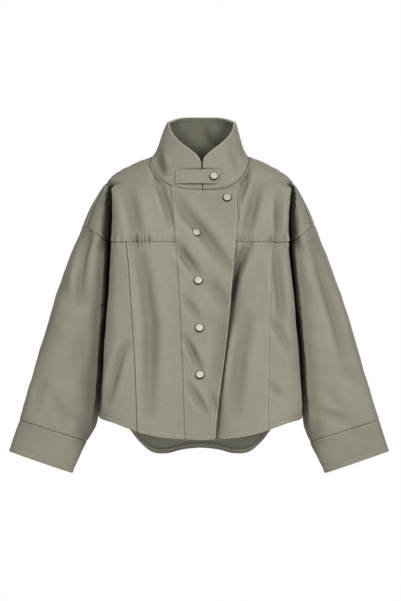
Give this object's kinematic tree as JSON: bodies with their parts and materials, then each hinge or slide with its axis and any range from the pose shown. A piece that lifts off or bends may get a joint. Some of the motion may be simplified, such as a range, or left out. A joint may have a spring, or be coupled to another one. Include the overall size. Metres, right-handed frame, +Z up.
{
  "type": "shirt jacket",
  "caption": "Cropped cotton twill shirt jacket with a funnel stand collar and tab, wide snapped front overlap, princess seams, dropped cuffed sleeves and a longer shirt-tail back.",
  "frame": {"origin": "middle of the neck, level with the points where the collar meets the shoulders, where a wearer or a stand holds it", "axes": "+Z up, +X towards the wearer's left sleeve, -Y towards the front"},
  "size_m": [0.7202, 0.2722, 0.6769],
  "materials": {
    "twill": "matt sage grey cotton twill with tone-on-tone topstitching",
    "snap_metal": "pale satin metal snap caps"
  },
  "bodies": {
    "root": {"yoke_right": "twill", "yoke_left": "twill", "front_right": "twill", "front_left": "twill", "side_right": "twill", "side_left": "twill", "back": "twill", "sleeve_right": "twill", "sleeve_left": "twill", "cuff_right": "twill", "cuff_left": "twill", "collar": "twill", "collar_tab": "twill", "placket": "twill", "snap_1": "snap_metal", "snap_2": "snap_metal", "snap_3": "snap_metal", "snap_4": "snap_metal", "snap_5": "snap_metal", "snap_6": "snap_metal"}
  },
  "joints": []
}
